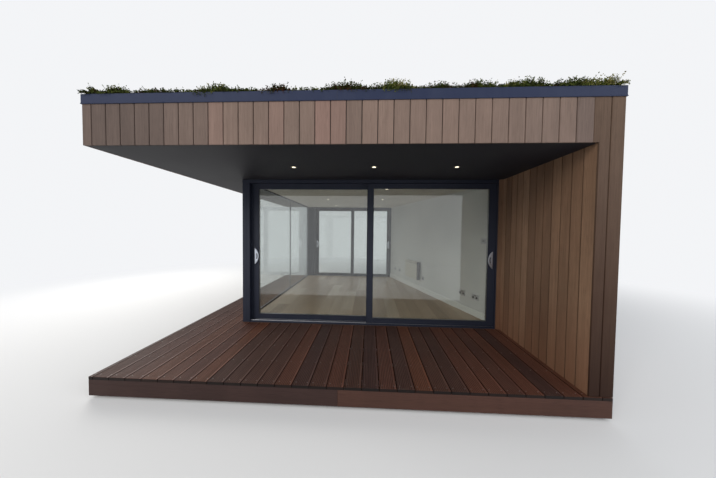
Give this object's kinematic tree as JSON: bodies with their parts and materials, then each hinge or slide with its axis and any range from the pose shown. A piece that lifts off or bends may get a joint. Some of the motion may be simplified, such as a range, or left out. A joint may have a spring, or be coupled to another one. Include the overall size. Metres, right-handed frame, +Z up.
{
  "type": "garden office pod",
  "caption": "Small glazed garden room under a planted flat roof that overhangs a porch and a side walk, with cedar walls and sliding glass doors at front and back",
  "frame": {"origin": "on the ground under the middle of the roof's outline", "axes": "+X along the front to the right, +Y from the front door to the back, +Z up"},
  "size_m": [4.555, 5.176, 2.756],
  "materials": {
    "concrete": "rough cast",
    "rough_timber": "sawn",
    "oak": "oiled light oak boards",
    "hardwood_deck": "oiled, grooved hardwood boards",
    "cedar": "cedar boards, weathered on the outside",
    "white_paint": "matt white paint",
    "dark_frame": "satin powder coat, dark blue grey",
    "clear_glass": "clear double glazing",
    "black_sealant": "black sealant",
    "bare_aluminium": "satin",
    "soffit_board": "charcoal board",
    "blue_grey_metal": "satin slate blue",
    "soil": "light crumbly growing medium",
    "sedum": "low green succulent planting",
    "light_ring": "satin",
    "white_enamel": "white enamel",
    "brushed_plate": "brushed",
    "polished_handle": "polished"
  },
  "bodies": {
    "building": {"foundation_strips": "concrete", "floor_platform": "rough_timber", "oak_floor": "oak", "deck_joists": "rough_timber", "porch_deck": "hardwood_deck", "side_deck": "hardwood_deck", "base_skirt": "hardwood_deck", "wing_wall": "rough_timber", "wing_cladding": "cedar", "side_wall": "rough_timber", "side_cladding": "cedar", "side_lining": "white_paint", "skirting_board": "white_paint", "front_left_post": "dark_frame", "back_left_post": "dark_frame", "side_glass_channels": "dark_frame", "side_glass": "clear_glass", "side_glass_joint": "black_sealant", "front_door_frame": "dark_frame", "front_door_sill": "bare_aluminium", "back_door_frame": "dark_frame", "back_door_sill": "bare_aluminium", "soffit": "soffit_board", "ceiling": "white_paint", "roof_structure": "rough_timber", "fascia_cladding": "cedar", "roof_trim": "blue_grey_metal", "growing_medium": "soil", "sedum_planting": "sedum", "porch_lights": "light_ring", "room_lights": "light_ring", "panel_heater": "white_enamel", "wall_sockets": "brushed_plate"},
    "front_left_leaf": {"front_left_sash": "dark_frame", "front_left_glass": "clear_glass", "front_left_handles": "polished_handle"},
    "front_right_leaf": {"front_right_sash": "dark_frame", "front_right_glass": "clear_glass", "front_right_handles": "polished_handle"},
    "back_left_leaf": {"back_left_sash": "dark_frame", "back_left_glass": "clear_glass", "back_left_handles": "polished_handle"},
    "back_right_leaf": {"back_right_sash": "dark_frame", "back_right_glass": "clear_glass", "back_right_handles": "polished_handle"}
  },
  "joints": [
    {"name": "front_left_slide", "type": "slide", "parent": "building", "child": "front_left_leaf", "axis": [1, 0, 0], "range_m": [0, 1.59]},
    {"name": "front_right_slide", "type": "slide", "parent": "building", "child": "front_right_leaf", "axis": [1, 0, 0], "range_m": [-1.59, 0]},
    {"name": "back_left_slide", "type": "slide", "parent": "building", "child": "back_left_leaf", "axis": [1, 0, 0], "range_m": [0, 0.96]},
    {"name": "back_right_slide", "type": "slide", "parent": "building", "child": "back_right_leaf", "axis": [1, 0, 0], "range_m": [-0.96, 0]}
  ]
}
